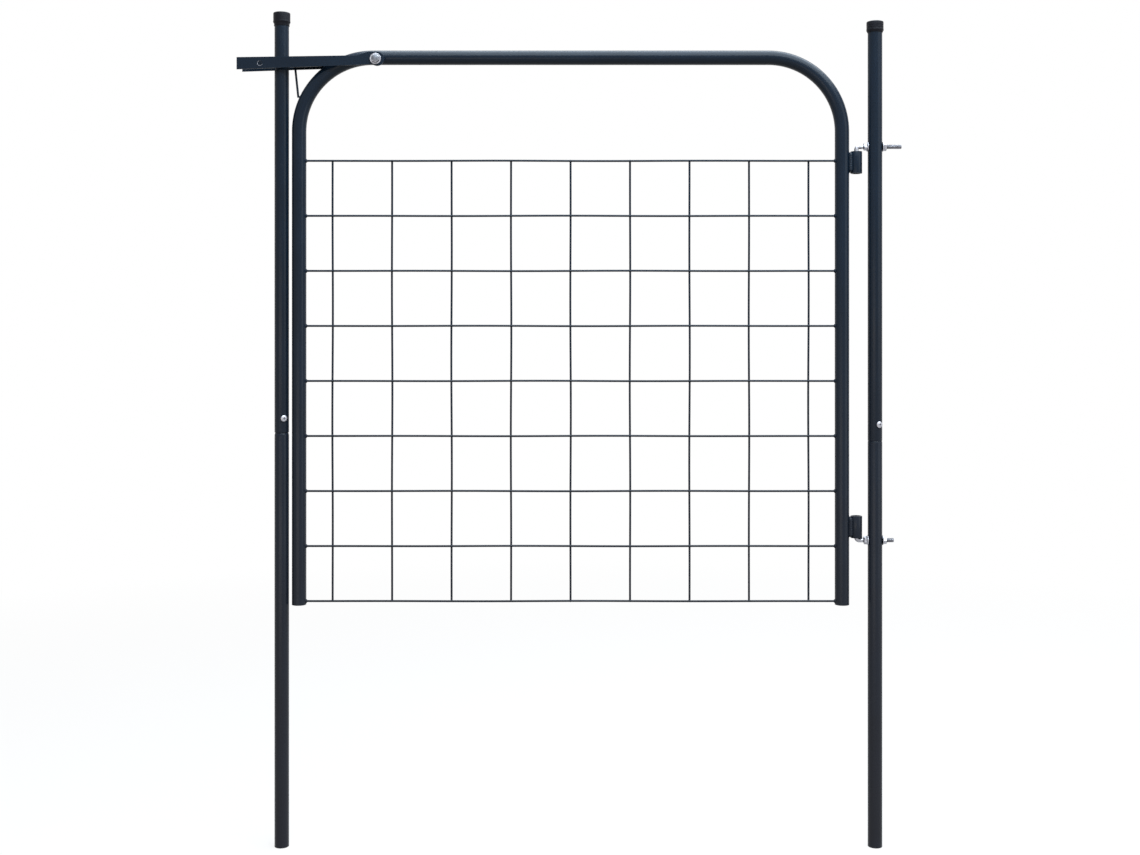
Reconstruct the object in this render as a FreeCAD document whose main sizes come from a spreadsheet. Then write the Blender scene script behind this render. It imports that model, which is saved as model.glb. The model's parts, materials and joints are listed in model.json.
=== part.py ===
import FreeCAD, Part
import Sketcher
import math
import os

# Mesh garden gate: one leaf of bent tube with a welded wire mesh, hung between
# two spliced tube posts on bent threaded pins, held shut by a lift-up fork latch.
# Millimetres. The origin is at the centre of the hinge post's foot, Z is up,
# X runs to the right as the front is seen, and the front faces -Y.

doc = FreeCAD.newDocument("garden_gate")
sheet = doc.addObject("Spreadsheet::Sheet", "dims")

SIZES = [
    # tube posts, each a lower and an upper length joined by a reduced spigot
    ("tube_radius", 13.0),
    ("tube_wall", 1.25),
    ("spigot_radius", 11.65),
    ("spigot_length", 56.0),
    ("shoulder_clear", 0.2),
    ("hinge_splice", 736.0),
    ("hinge_splice_gap", 0.8),
    ("hinge_tube_top", 1495.5),
    ("leaf_gap", 5.5),
    ("latch_splice", 749.0),
    ("latch_splice_gap", 3.0),
    ("latch_tube_top", 1511.5),
    # push-on caps
    ("cap_radius", 15.5),
    ("cap_top", 3.0),
    ("cap_fit", 0.1),
    ("cap_sleeve_radius", 13.9),
    ("cap_flare", 3.1),
    ("cap_edge", 1.5),
    ("hinge_cap_height", 20.0),
    ("hinge_cap_sleeve", 0.8),
    ("latch_cap_height", 24.5),
    ("latch_cap_sleeve", 5.6),
    # splice screws
    ("screw_head_radius", 6.0),
    ("screw_head_height", 3.0),
    ("screw_radius", 2.4),
    ("screw_length", 14.0),
    ("screw_hole_radius", 2.5),
    ("hinge_screw_rise", 30.0),
    ("hinge_screw_angle", 24.0),
    ("latch_screw_rise", 26.0),
    ("latch_screw_angle", 29.0),
    # hinges
    ("axis_shift", 34.0),
    ("pin_radius", 4.0),
    ("pin_bend", 5.5),
    ("pin_hole_radius", 4.2),
    ("upper_pin_height", 1271.0),
    ("upper_pin_leg", 40.0),
    ("upper_pin_end", 48.0),
    ("lower_pin_height", 556.0),
    ("lower_pin_leg", 38.0),
    ("lower_pin_end", 34.0),
    ("nut_flange_radius", 8.75),
    ("nut_flange_edge", 1.2),
    ("nut_flat", 6.5),
    ("nut_height", 7.5),
    ("nut_bore", 4.05),
    ("barrel_radius", 10.5),
    ("barrel_bore", 7.5),
    ("barrel_length", 40.0),
    ("upper_barrel_clear", 3.0),
    ("lower_barrel_seat", 0.4),
    ("bush_bore", 4.08),
    ("bush_fit", 0.05),
    ("bush_length", 24.0),
    ("bush_inset", 6.0),
    ("lug_half_width", 3.5),
    ("lug_inset", 1.5),
    # leaf
    ("stile_shift", 60.0),
    ("leaf_width", 987.0),
    ("leaf_bottom", 439.0),
    ("leaf_top", 1433.0),
    ("leaf_bend", 134.0),
    ("wire_half", 1.75),
    ("wire_offset", 1.4),
    ("wire_count", 9.0),
    ("mesh_rise", 6.5),
    ("mesh_pitch", 100.0),
    ("mesh_side", 60.7),
    # latch
    ("pivot_inset", 141.8),
    ("pivot_drop", 6.0),
    ("pivot_radius", 4.0),
    ("pivot_hole_radius", 4.08),
    ("bar_thick", 2.0),
    ("bar_clear", 5.0),
    ("bar_over", 77.0),
    ("bar_tail", 16.0),
    ("bar_head", 13.0),
    ("bar_neck", 34.0),
    ("bar_neck_top", 6.1),
    ("bar_top", 2.9),
    ("bar_bottom", 19.2),
    ("back_bar_rise", 4.0),
    ("back_bar_over", 4.0),
    ("bar_taper", 0.032),
    ("bridge_near", 88.0),
    ("bridge_clear", 5.4),
    ("bridge_thick", 2.0),
    ("padlock_over", 35.0),
    ("padlock_drop", 8.2),
    ("padlock_radius", 4.5),
    ("spacer_radius", 7.0),
    ("spacer_gap", 0.15),
    ("washer_radius", 10.0),
    ("washer_thick", 1.6),
    ("bolt_head_flat", 6.5),
    ("bolt_head_height", 5.3),
    ("bolt_tail", 1.5),
    ("insert_radius", 5.5),
    ("insert_length", 14.0),
    ("insert_flange", 1.0),
    ("rod_radius", 2.0),
    ("rod_lean", 6.0),
    ("rod_outset", 1.4),
    ("rod_drop", 0.15),
    ("rod_gap", 0.3),
]

for row, (name, number) in enumerate(SIZES, start=1):
    sheet.set(f"A{row}", name)
    sheet.set(f"B{row}", str(number))
    sheet.setAlias(f"B{row}", name)
doc.recompute()


class Size:
    """A length that knows both its number and its formula in the sheet."""

    def __init__(self, number, text):
        self.number = number
        self.text = text

    def __add__(self, other):
        other = as_size(other)
        return Size(self.number + other.number, f"({self.text} + {other.text})")

    def __sub__(self, other):
        other = as_size(other)
        return Size(self.number - other.number, f"({self.text} - {other.text})")

    def __mul__(self, other):
        other = as_size(other)
        return Size(self.number * other.number, f"({self.text} * {other.text})")

    def __truediv__(self, other):
        other = as_size(other)
        return Size(self.number / other.number, f"({self.text} / {other.text})")

    def __neg__(self):
        return as_size(0.0) - self

    def root(self):
        return Size(math.sqrt(self.number), f"sqrt({self.text})")


def as_size(value):
    if isinstance(value, Size):
        return value
    return Size(float(value), repr(float(value)))


def size(name):
    return Size(float(sheet.get(name)), f"dims.{name}")


ZERO = as_size(0.0)
START, END, CENTRE = range(1, 4)
ORIGIN, VERTICAL_AXIS = range(-1, -3, -1)


def datum(body, role):
    """One of the body's own origin planes or axes, by its role."""
    return next(item for item in body.Origin.OriginFeatures if item.Role == role)


def new_body(name, base=(ZERO, ZERO, ZERO), turn=None):
    """An empty body set down at base, turned about an axis by an angle if one is given."""
    body = doc.addObject("PartDesign::Body", name)
    body.Label = name
    if turn:
        axis, angle = turn
        body.Placement = FreeCAD.Placement(FreeCAD.Vector(), FreeCAD.Rotation(axis, 1.0))
        body.setExpression("Placement.Rotation.Angle", as_size(angle).text + " * 1 deg")
    for letter, value in zip("xyz", base):
        body.setExpression(f"Placement.Base.{letter}", as_size(value).text + " * 1 mm")
    return body


def new_sketch(body, plane, name, lift=None):
    """A sketch on one of the body's own origin planes, lifted off it if asked."""
    sketch = doc.addObject("Sketcher::SketchObject", name)
    body.addObject(sketch)
    sketch.AttachmentSupport = [(datum(body, plane + "_Plane"), "")]
    sketch.MapMode = "FlatFace"
    if lift is not None:
        sketch.setExpression("AttachmentOffset.Base.z", as_size(lift).text + " * 1 mm")
    return sketch


def pin_point(sketch, geometry, point, x, y):
    """Hold one point of the sketch at the two sizes given."""
    for kind, value, axis in (("DistanceX", x, VERTICAL_AXIS), ("DistanceY", y, ORIGIN)):
        value = as_size(value)
        if value.number == 0.0 and value.text == "0.0":
            sketch.addConstraint(Sketcher.Constraint("PointOnObject", geometry, point, axis))
            continue
        index = sketch.addConstraint(
            Sketcher.Constraint(kind, ORIGIN, START, geometry, point, value.number)
        )
        sketch.setExpression(f"Constraints[{index}]", value.text)


def add_circle(sketch, x, y, radius):
    x = as_size(x)
    y = as_size(y)
    radius = as_size(radius)
    centre = FreeCAD.Vector(x.number, y.number, 0)
    index = sketch.addGeometry(Part.Circle(centre, FreeCAD.Vector(0, 0, 1), radius.number))
    pin_point(sketch, index, CENTRE, x, y)
    rule = sketch.addConstraint(Sketcher.Constraint("Radius", index, radius.number))
    sketch.setExpression(f"Constraints[{rule}]", radius.text)
    return index


def add_outline(sketch, points, bends=None, closed=True):
    """Straight lines through the points; bends give the centre of an arc that replaces a line."""
    bends = bends or {}
    points = [(as_size(x), as_size(y)) for x, y in points]
    places = [FreeCAD.Vector(x.number, y.number, 0) for x, y in points]
    count = len(points) if closed else len(points) - 1
    ends = []
    for i in range(count):
        first = places[i]
        last = places[(i + 1) % len(points)]
        if i in bends:
            index, start, end = add_arc(sketch, first, last, *bends[i])
        else:
            index = sketch.addGeometry(Part.LineSegment(first, last))
            start, end = START, END
        ends.append((index, start, end))
    for i in range(count):
        index, start, end = ends[i]
        pin_point(sketch, index, start, *points[i])
        if i + 1 < count or closed:
            follower, follower_start, _ = ends[(i + 1) % count]
            rule = Sketcher.Constraint("Coincident", index, end, follower, follower_start)
            sketch.addConstraint(rule)
        else:
            pin_point(sketch, index, end, *points[-1])
    for i, (x, y, _) in bends.items():
        index = ends[i][0]
        first = places[i]
        last = places[(i + 1) % len(points)]
        if abs(first.y - last.y) < 1e-6:
            kind, value = "DistanceY", as_size(y)
        else:
            kind, value = "DistanceX", as_size(x)
        rule = sketch.addConstraint(
            Sketcher.Constraint(kind, ORIGIN, START, index, CENTRE, value.number)
        )
        sketch.setExpression(f"Constraints[{rule}]", value.text)


def add_arc(sketch, first, last, x, y, turn):
    """An arc from first to last round the centre, counter-clockwise if turn is 1."""
    centre = FreeCAD.Vector(as_size(x).number, as_size(y).number, 0)
    radius = (first - centre).Length
    begin = math.atan2(first.y - centre.y, first.x - centre.x)
    finish = math.atan2(last.y - centre.y, last.x - centre.x)
    if turn < 0:
        begin, finish = finish, begin
    if finish <= begin:
        finish += 2 * math.pi
    circle = Part.Circle(centre, FreeCAD.Vector(0, 0, 1), radius)
    index = sketch.addGeometry(Part.ArcOfCircle(circle, begin, finish))
    if turn < 0:
        return index, END, START
    return index, START, END


def revolve(body, sketch, axis, name):
    feature = body.newObject("PartDesign::Revolution", name)
    feature.Profile = sketch
    feature.ReferenceAxis = (datum(body, axis + "_Axis"), [""])
    feature.Angle = 360.0
    sketch.Visibility = False
    return feature


def pad(body, sketch, length, name, midplane=False, reverse=False):
    feature = body.newObject("PartDesign::Pad", name)
    feature.Profile = sketch
    feature.setExpression("Length", as_size(length).text + " * 1 mm")
    feature.Midplane = midplane
    feature.Reversed = reverse
    sketch.Visibility = False
    return feature


def pocket(body, sketch, length, name, midplane=False, reverse=False):
    feature = body.newObject("PartDesign::Pocket", name)
    feature.Profile = sketch
    feature.setExpression("Length", as_size(length).text + " * 1 mm")
    feature.Midplane = midplane
    feature.Reversed = reverse
    sketch.Visibility = False
    return feature


def pattern(body, feature, axis, pitch, count, name):
    """Repeat a feature along one of the body's own axes."""
    row = body.newObject("PartDesign::LinearPattern", name)
    row.Originals = [feature]
    row.Direction = (datum(body, axis + "_Axis"), [""])
    row.setExpression("Length", (as_size(pitch) * (count - 1)).text + " * 1 mm")
    row.setExpression("Occurrences", count.text)
    body.Tip = row
    return row


def sweep(body, profile, path, name):
    feature = body.newObject("PartDesign::AdditivePipe", name)
    feature.Profile = profile
    feature.Spine = path
    feature.Transition = "Right corner"
    profile.Visibility = False
    path.Visibility = False
    return feature


def finish(body):
    doc.recompute()
    return body


TUBE = size("tube_radius")
BORE = TUBE - size("tube_wall")
HINGE_POST = (ZERO, ZERO, ZERO)
left_stile = -(size("stile_shift") + size("leaf_width"))
latch_post = left_stile - TUBE * 2 - size("leaf_gap")
LATCH_POST = (latch_post, ZERO, ZERO)


# Posts

def post_lower(name, base, splice, gap):
    """A tube whose top end is drawn down to a spigot that slides into the upper tube."""
    body = new_body(name, base)
    spigot = size("spigot_radius")
    inner = spigot - size("tube_wall")
    shoulder = splice + gap - size("shoulder_clear")
    top = splice + size("spigot_length")
    outline = new_sketch(body, "XZ", name + "_outline")
    add_outline(
        outline,
        [
            (BORE, 0),
            (TUBE, 0),
            (TUBE, splice),
            (spigot, shoulder),
            (spigot, top),
            (inner, top),
            (inner, shoulder),
            (BORE, splice),
        ],
    )
    revolve(body, outline, "Z", name + "_tube")
    return body


def post_upper(name, base, bottom, top):
    body = new_body(name, base)
    outline = new_sketch(body, "XZ", name + "_outline")
    add_outline(outline, [(BORE, bottom), (TUBE, bottom), (TUBE, top), (BORE, top)])
    revolve(body, outline, "Z", name + "_tube")
    return body


def cross_hole(body, name, height, radius):
    """A hole through both walls of a post, along X."""
    sketch = new_sketch(body, "YZ", name + "_sketch")
    add_circle(sketch, 0, height, radius)
    pocket(body, sketch, TUBE * 4, name, midplane=True)


def screw_hole(body, name, height, angle):
    """A hole through the front wall alone, turned round the post to where its screw sits."""
    sketch = new_sketch(body, "XZ", name + "_sketch")
    add_circle(sketch, 0, height, size("screw_hole_radius"))
    sketch.AttachmentOffset = FreeCAD.Placement(
        FreeCAD.Vector(), FreeCAD.Rotation(FreeCAD.Vector(0, 1, 0), 1.0)
    )
    sketch.setExpression("AttachmentOffset.Rotation.Angle", angle.text + " * 1 deg")
    pocket(body, sketch, TUBE * 2, name, reverse=True)


def post_cap(name, base, tube_top, height, sleeve):
    """A push-on cap: a thin sleeve on the tube, flared to a thicker skirt with a rounded top."""
    body = new_body(name, (base[0], base[1], tube_top + size("cap_top") - height))
    inner = TUBE + size("cap_fit")
    edge = size("cap_edge")
    outer = size("cap_radius")
    flare = sleeve + size("cap_flare")
    thin = size("cap_sleeve_radius")
    outline = new_sketch(body, "XZ", name + "_outline")
    add_outline(
        outline,
        [
            (inner, 0),
            (thin, 0),
            (thin, sleeve),
            (outer, flare),
            (outer, height - edge),
            (outer - edge * 0.3, height - edge * 0.3),
            (outer - edge, height),
            (0, height),
            (0, height - size("cap_top")),
            (inner, height - size("cap_top")),
        ],
    )
    revolve(body, outline, "Z", name + "_shell")
    return body


def splice_screw(name, base, height, angle):
    """A pan-head screw set square on the post's wall."""
    body = new_body(name, (base[0], base[1], height), (FreeCAD.Vector(0, 0, 1), angle))
    head = size("screw_head_radius")
    shank = size("screw_radius")
    tall = size("screw_head_height")
    outline = new_sketch(body, "XY", name + "_outline")
    seat = -TUBE
    add_outline(
        outline,
        [
            (0, seat - tall),
            (head * 0.5, seat - tall),
            (head, seat - tall * 0.4),
            (head, seat),
            (shank, seat),
            (shank, seat + size("screw_length") - 2.0),
            (0, seat + size("screw_length")),
        ],
    )
    revolve(body, outline, "Y", name + "_turned")
    return body


def spliced_post(side, base, splice, gap, tube_top, rise, angle, pins):
    """One post: two lengths, the cap and the screw. pins are (length, height) of pin holes."""
    lower = post_lower(side + "_post_lower", base, splice, gap)
    upper = post_upper(side + "_post_upper", base, splice + gap, tube_top)
    height = splice + gap + rise
    for length, part in (("lower", lower), ("upper", upper)):
        screw_hole(part, f"{side}_{length}_screw_hole", height, angle)
    for length, pin_height in pins:
        part = lower if length == "lower" else upper
        cross_hole(part, f"{side}_{length}_pin_hole", pin_height, size("pin_hole_radius"))
    finish(lower)
    finish(upper)
    tall = size(side + "_cap_height")
    sleeve = size(side + "_cap_sleeve")
    cap = finish(post_cap(side + "_post_cap", base, tube_top, tall, sleeve))
    screw = finish(splice_screw(side + "_post_screw", base, height, angle))
    return [lower, upper, cap, screw]


pieces = []
pieces += spliced_post(
    "hinge",
    HINGE_POST,
    size("hinge_splice"),
    size("hinge_splice_gap"),
    size("hinge_tube_top"),
    size("hinge_screw_rise"),
    size("hinge_screw_angle"),
    [("lower", size("lower_pin_height")), ("upper", size("upper_pin_height"))],
)
pieces += spliced_post(
    "latch",
    LATCH_POST,
    size("latch_splice"),
    size("latch_splice_gap"),
    size("latch_tube_top"),
    size("latch_screw_rise"),
    size("latch_screw_angle"),
    [],
)


# Hinges

def hinge_pin(name, leg, height, end, upwards):
    """A rod bent to a right angle: an upright leg on the hinge axis, then out through the post."""
    axis = -size("axis_shift")
    bend = size("pin_bend")
    reach = size("axis_shift") + end
    if upwards:
        body = new_body(name, (axis, ZERO, height + leg), (FreeCAD.Vector(1, 0, 0), as_size(180)))
    else:
        body = new_body(name, (axis, ZERO, height - leg))
    path = new_sketch(body, "XZ", name + "_path")
    add_outline(
        path,
        [(0, 0), (0, leg - bend), (bend, leg), (reach, leg)],
        bends={1: (bend, leg - bend, -1)},
        closed=False,
    )
    profile = new_sketch(body, "XY", name + "_profile")
    add_circle(profile, 0, 0, size("pin_radius"))
    sweep(body, profile, path, name + "_rod")
    return finish(body)


def flange_nut(name, base, angle, flange=True, height=None, flat=None):
    """A hexagon nut on the Z axis of its body, with a flange at its foot."""
    body = new_body(name, base, (FreeCAD.Vector(0, 1, 0), angle))
    height = height or size("nut_height")
    flat = flat or size("nut_flat")
    corner = flat / math.cos(math.pi / 6)
    hexagon = new_sketch(body, "XY", name + "_hexagon")
    add_outline(
        hexagon,
        [
            (corner * math.cos(math.pi * step / 3), corner * math.sin(math.pi * step / 3))
            for step in range(6)
        ],
    )
    pad(body, hexagon, height, name + "_prism")
    if flange:
        rim = size("nut_flange_radius")
        edge = size("nut_flange_edge")
        outline = new_sketch(body, "XZ", name + "_outline")
        add_outline(
            outline,
            [(0, 0), (rim, 0), (rim, edge), (flat, edge + (rim - flat)), (0, edge + (rim - flat))],
        )
        revolve(body, outline, "Z", name + "_flange")
    hole = new_sketch(body, "XY", name + "_bore_sketch")
    add_circle(hole, 0, 0, size("nut_bore"))
    pocket(body, hole, height * 4, name + "_bore", midplane=True)
    return finish(body)


def hinge_barrel(name, bottom):
    """A short tube on the hinge axis with a lug that reaches the stile."""
    body = new_body(name, (-size("axis_shift"), ZERO, bottom))
    length = size("barrel_length")
    outer = size("barrel_radius")
    ring = new_sketch(body, "XY", name + "_ring")
    add_circle(ring, 0, 0, outer)
    pad(body, ring, length, name + "_tube")
    reach = size("stile_shift") - size("axis_shift") - TUBE
    half = size("lug_half_width")
    inset = size("lug_inset")
    lug = new_sketch(body, "XY", name + "_lug_outline", lift=inset)
    add_outline(lug, [(-reach, -half), (-outer * 0.8, -half), (-outer * 0.8, half), (-reach, half)])
    pad(body, lug, length - inset * 2, name + "_lug")
    hole = new_sketch(body, "XY", name + "_bore_sketch")
    add_circle(hole, 0, 0, size("barrel_bore"))
    pocket(body, hole, length * 3, name + "_bore", midplane=True)
    return finish(body)


def hinge_bush(name, bottom):
    """A plain sleeve between the barrel and the pin."""
    body = new_body(name, (-size("axis_shift"), ZERO, bottom))
    outline = new_sketch(body, "XZ", name + "_outline")
    outer = size("barrel_bore") - size("bush_fit")
    inner = size("bush_bore")
    length = size("bush_length")
    add_outline(outline, [(inner, 0), (outer, 0), (outer, length), (inner, length)])
    revolve(body, outline, "Z", name + "_sleeve")
    return finish(body)


upper_pin = size("upper_pin_height")
lower_pin = size("lower_pin_height")
pieces.append(
    hinge_pin("upper_hinge_pin", size("upper_pin_leg"), upper_pin, size("upper_pin_end"), False)
)
pieces.append(
    hinge_pin("lower_hinge_pin", size("lower_pin_leg"), lower_pin, size("lower_pin_end"), True)
)
for side, height in (("upper", upper_pin), ("lower", lower_pin)):
    pieces.append(flange_nut(side + "_hinge_outer_nut", (TUBE, ZERO, height), as_size(90)))
    pieces.append(flange_nut(side + "_hinge_inner_nut", (-TUBE, ZERO, height), as_size(-90)))
upper_bottom = (
    upper_pin - size("pin_bend") - size("upper_barrel_clear") - size("barrel_length")
)
lower_bottom = lower_pin + size("pin_radius") + size("lower_barrel_seat")
for side, bottom in (("upper", upper_bottom), ("lower", lower_bottom)):
    pieces.append(hinge_barrel(side + "_hinge_barrel", bottom))
    pieces.append(hinge_bush(side + "_hinge_bush", bottom + size("bush_inset")))


# Leaf

pivot_across = left_stile + size("pivot_inset")
pivot_height = size("leaf_top") - size("pivot_drop")


def leaf_frame():
    """One tube bent twice into an upside-down U, bored at the front for the latch bolt."""
    name = "leaf_frame"
    body = new_body(name, (left_stile, ZERO, size("leaf_bottom")))
    wide = size("leaf_width")
    tall = size("leaf_top") - size("leaf_bottom")
    bend = size("leaf_bend")
    path = new_sketch(body, "XZ", name + "_path")
    add_outline(
        path,
        [
            (0, 0),
            (0, tall - bend),
            (bend, tall),
            (wide - bend, tall),
            (wide, tall - bend),
            (wide, 0),
        ],
        bends={1: (bend, tall - bend, -1), 3: (wide - bend, tall - bend, -1)},
        closed=False,
    )
    profile = new_sketch(body, "XY", name + "_profile")
    add_circle(profile, 0, 0, TUBE)
    add_circle(profile, 0, 0, BORE)
    sweep(body, profile, path, name + "_tube")
    hole = new_sketch(body, "XZ", name + "_pivot_sketch")
    up = pivot_height - size("leaf_bottom")
    add_circle(hole, size("pivot_inset"), up, size("insert_radius") + 0.1)
    pocket(body, hole, TUBE * 2, name + "_pivot_hole", reverse=True)
    return finish(body)


def wire_section(sketch, x, y):
    """The eight-sided section of a mesh wire, flat sides square to the axes."""
    corner = size("wire_half") / math.cos(math.pi / 8)
    turns = [math.pi * (2 * step + 1) / 8 for step in range(8)]
    add_outline(
        sketch, [(x + corner * math.cos(turn), y + corner * math.sin(turn)) for turn in turns]
    )


def mesh_panel():
    """Level wires from stile to stile in front of upright ones, fused where they cross."""
    name = "mesh_panel"
    body = new_body(name, (left_stile + TUBE, ZERO, size("leaf_bottom") + size("mesh_rise")))
    count = size("wire_count")
    high = size("mesh_pitch")
    wide = (size("leaf_width") - size("mesh_side") * 2) / (count - 1)
    offset = size("wire_offset")
    level = new_sketch(body, "YZ", name + "_level_section")
    wire_section(level, -offset, ZERO)
    level_wire = pad(body, level, size("leaf_width") - TUBE * 2, name + "_level_wire")
    pattern(body, level_wire, "Z", high, count, name + "_level_wires")
    upright = new_sketch(body, "XY", name + "_upright_section", lift=-size("wire_half"))
    wire_section(upright, size("mesh_side") - TUBE, offset)
    length = high * (count - 1) + size("wire_half") * 2
    upright_wire = pad(body, upright, length, name + "_upright_wire")
    pattern(body, upright_wire, "X", wide, count, name + "_upright_wires")
    return finish(body)


pieces.append(leaf_frame())
pieces.append(mesh_panel())


# Latch

post_distance = pivot_across - latch_post
bar_face = size("cap_radius") + size("bar_clear")
bar_outer_face = bar_face + size("bar_thick")
bar_tip = -(post_distance + size("bar_over"))


def front_bar():
    """The long side of the fork: a round head on the bolt, a shoulder and a tapered bar."""
    name = "latch_front_bar"
    body = new_body(name, (pivot_across, -bar_outer_face, pivot_height))
    head = size("bar_head")
    neck = size("bar_neck")
    straight = size("bar_tail") - head
    outline = new_sketch(body, "XZ", name + "_outline")
    add_outline(
        outline,
        [
            (straight - head * 0.6, -head * 0.8),
            (straight, head),
            (-neck * 0.4, head),
            (-neck, size("bar_neck_top")),
            (bar_tip, size("bar_top")),
            (bar_tip, -size("bar_bottom")),
        ],
        bends={0: (straight, ZERO, 1)},
    )
    pad(body, outline, size("bar_thick"), name + "_plate", reverse=True)
    holes = new_sketch(body, "XZ", name + "_holes")
    add_circle(holes, 0, 0, size("pivot_hole_radius"))
    padlock = -(post_distance + size("padlock_over"))
    add_circle(holes, padlock, -size("padlock_drop"), size("padlock_radius"))
    pocket(body, holes, size("bar_thick") * 4, name + "_bores", midplane=True)
    return finish(body)


def back_bar():
    """The short side of the fork, from the tip to just past the bridge."""
    name = "latch_back_bar"
    body = new_body(name, (pivot_across, bar_face, pivot_height))
    near = size("back_bar_over") - size("bridge_near")
    low = size("bar_bottom") - size("back_bar_rise")
    taper = size("bar_taper") * (size("bar_over") + post_distance + near)
    outline = new_sketch(body, "XZ", name + "_outline")
    add_outline(
        outline,
        [
            (bar_tip, -low),
            (near, taper - low),
            (near, size("bar_top") + taper * 0.45),
            (bar_tip, size("bar_top")),
        ],
    )
    pad(body, outline, size("bar_thick"), name + "_plate", reverse=True)
    return finish(body)


def latch_bridge():
    """The plate that joins the two bars on top, between the bend and the post."""
    name = "latch_bridge"
    top = pivot_height + size("bar_top")
    body = new_body(name, (pivot_across, ZERO, top - size("bridge_thick")))
    near = -size("bridge_near")
    far = -(post_distance - TUBE - size("bridge_clear"))
    outline = new_sketch(body, "XY", name + "_outline")
    add_outline(
        outline, [(far, -bar_face), (near, -bar_face), (near, bar_face), (far, bar_face)]
    )
    pad(body, outline, size("bridge_thick"), name + "_plate")
    return finish(body)


def ring(name, base, outer, inner, length, angle):
    """A plain ring on the bolt's axis; the angle turns its Z axis to the front."""
    body = new_body(name, base, (FreeCAD.Vector(1, 0, 0), angle))
    outline = new_sketch(body, "XZ", name + "_outline")
    add_outline(outline, [(inner, 0), (outer, 0), (outer, length), (inner, length)])
    revolve(body, outline, "Z", name + "_turned")
    return finish(body)


def pivot_bolt():
    """A hexagon-headed bolt, its head at the front."""
    name = "latch_bolt"
    seat = washer_face + size("washer_thick")
    base = (pivot_across, -seat, pivot_height)
    body = new_body(name, base, (FreeCAD.Vector(1, 0, 0), as_size(90)))
    flat = size("bolt_head_flat")
    corner = flat / math.cos(math.pi / 6)
    hexagon = new_sketch(body, "XY", name + "_hexagon")
    add_outline(
        hexagon,
        [
            (corner * math.cos(math.pi * step / 3), corner * math.sin(math.pi * step / 3))
            for step in range(6)
        ],
    )
    pad(body, hexagon, size("bolt_head_height"), name + "_head")
    shank = new_sketch(body, "XY", name + "_shank_sketch")
    add_circle(shank, 0, 0, size("pivot_radius"))
    length = seat - TUBE + size("insert_length") + size("bolt_tail")
    pad(body, shank, length, name + "_shank", reverse=True)
    return finish(body)


def pivot_nut():
    """A flanged nut set into the rail's front wall, with its thread inside the tube."""
    name = "latch_nut"
    base = (pivot_across, -TUBE, pivot_height)
    body = new_body(name, base, (FreeCAD.Vector(1, 0, 0), as_size(90)))
    inner = size("nut_bore")
    outer = size("insert_radius")
    rim = size("spacer_radius")
    depth = -size("insert_length")
    flange = size("insert_flange")
    outline = new_sketch(body, "XZ", name + "_outline")
    add_outline(
        outline,
        [(inner, depth), (outer, depth), (outer, 0), (rim, 0), (rim, flange), (inner, flange)],
    )
    revolve(body, outline, "Z", name + "_turned")
    return finish(body)


def rest_rod():
    """The short rod on the bend, leaning to the post, that the latch's bridge comes down on."""
    name = "latch_rest_rod"
    bend = size("leaf_bend")
    outer = bend + TUBE
    side = bend + size("rod_outset") - size("rod_radius")
    bottom = size("leaf_top") - bend + (outer * outer - side * side).root() - size("rod_drop")
    bridge_underside = pivot_height + size("bar_top") - size("bridge_thick")
    top = bridge_underside - size("rod_gap")
    base = (left_stile - size("rod_outset"), ZERO, bottom)
    body = new_body(name, base, (FreeCAD.Vector(0, 1, 0), -size("rod_lean")))
    section = new_sketch(body, "XY", name + "_section")
    add_circle(section, 0, 0, size("rod_radius"))
    pad(body, section, top - bottom, name + "_rod")
    return finish(body)


washer_face = bar_outer_face + size("spacer_gap")
spacer_seat = TUBE + size("insert_flange")
for name, along, outer, length in (
    ("latch_spacer", spacer_seat, "spacer_radius", bar_face - spacer_seat - size("spacer_gap")),
    ("latch_washer", washer_face, "washer_radius", size("washer_thick")),
):
    base = (pivot_across, -along, pivot_height)
    pieces.append(ring(name, base, size(outer), size("nut_bore"), length, as_size(90)))
pieces.append(front_bar())
pieces.append(back_bar())
pieces.append(latch_bridge())
pieces.append(pivot_bolt())
pieces.append(pivot_nut())
pieces.append(rest_rod())


# Every object must be sound before anything is written

doc.recompute()
for item in doc.Objects:
    if {"Invalid", "Error"} & set(item.State):
        raise RuntimeError(f"{item.Name} is in state {item.State}")
for body in pieces:
    if body.Shape.isNull() or not body.Shape.isValid():
        raise RuntimeError(f"{body.Label} has no sound shape")
    if len(body.Shape.Solids) != 1:
        raise RuntimeError(f"{body.Label} has {len(body.Shape.Solids)} solids")

os.makedirs("parts", exist_ok=True)
for body in pieces:
    body.Shape.exportStep(f"parts/{body.Label}.step")
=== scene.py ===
"""The looks of a welded-mesh garden gate: surfaces, fastenings, welds, light and camera."""

import json
import math

import bpy
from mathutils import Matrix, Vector
from mathutils.geometry import tessellate_polygon


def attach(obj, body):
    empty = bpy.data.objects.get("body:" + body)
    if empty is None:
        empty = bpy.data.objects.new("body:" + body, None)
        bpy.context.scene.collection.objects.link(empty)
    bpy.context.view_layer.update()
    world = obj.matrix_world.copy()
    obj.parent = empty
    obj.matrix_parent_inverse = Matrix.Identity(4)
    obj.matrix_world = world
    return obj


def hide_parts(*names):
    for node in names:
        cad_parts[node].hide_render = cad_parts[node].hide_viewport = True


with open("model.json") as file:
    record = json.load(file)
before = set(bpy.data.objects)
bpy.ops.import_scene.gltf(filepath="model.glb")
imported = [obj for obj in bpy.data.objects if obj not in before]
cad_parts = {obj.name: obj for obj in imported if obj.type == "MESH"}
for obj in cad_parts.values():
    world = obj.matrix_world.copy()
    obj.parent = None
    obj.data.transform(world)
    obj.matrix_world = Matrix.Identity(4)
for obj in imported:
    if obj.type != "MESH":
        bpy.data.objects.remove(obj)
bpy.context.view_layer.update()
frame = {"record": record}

MM = 0.001
X = Vector((1, 0, 0))
Y = Vector((0, 1, 0))
Z = Vector((0, 0, 1))

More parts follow.
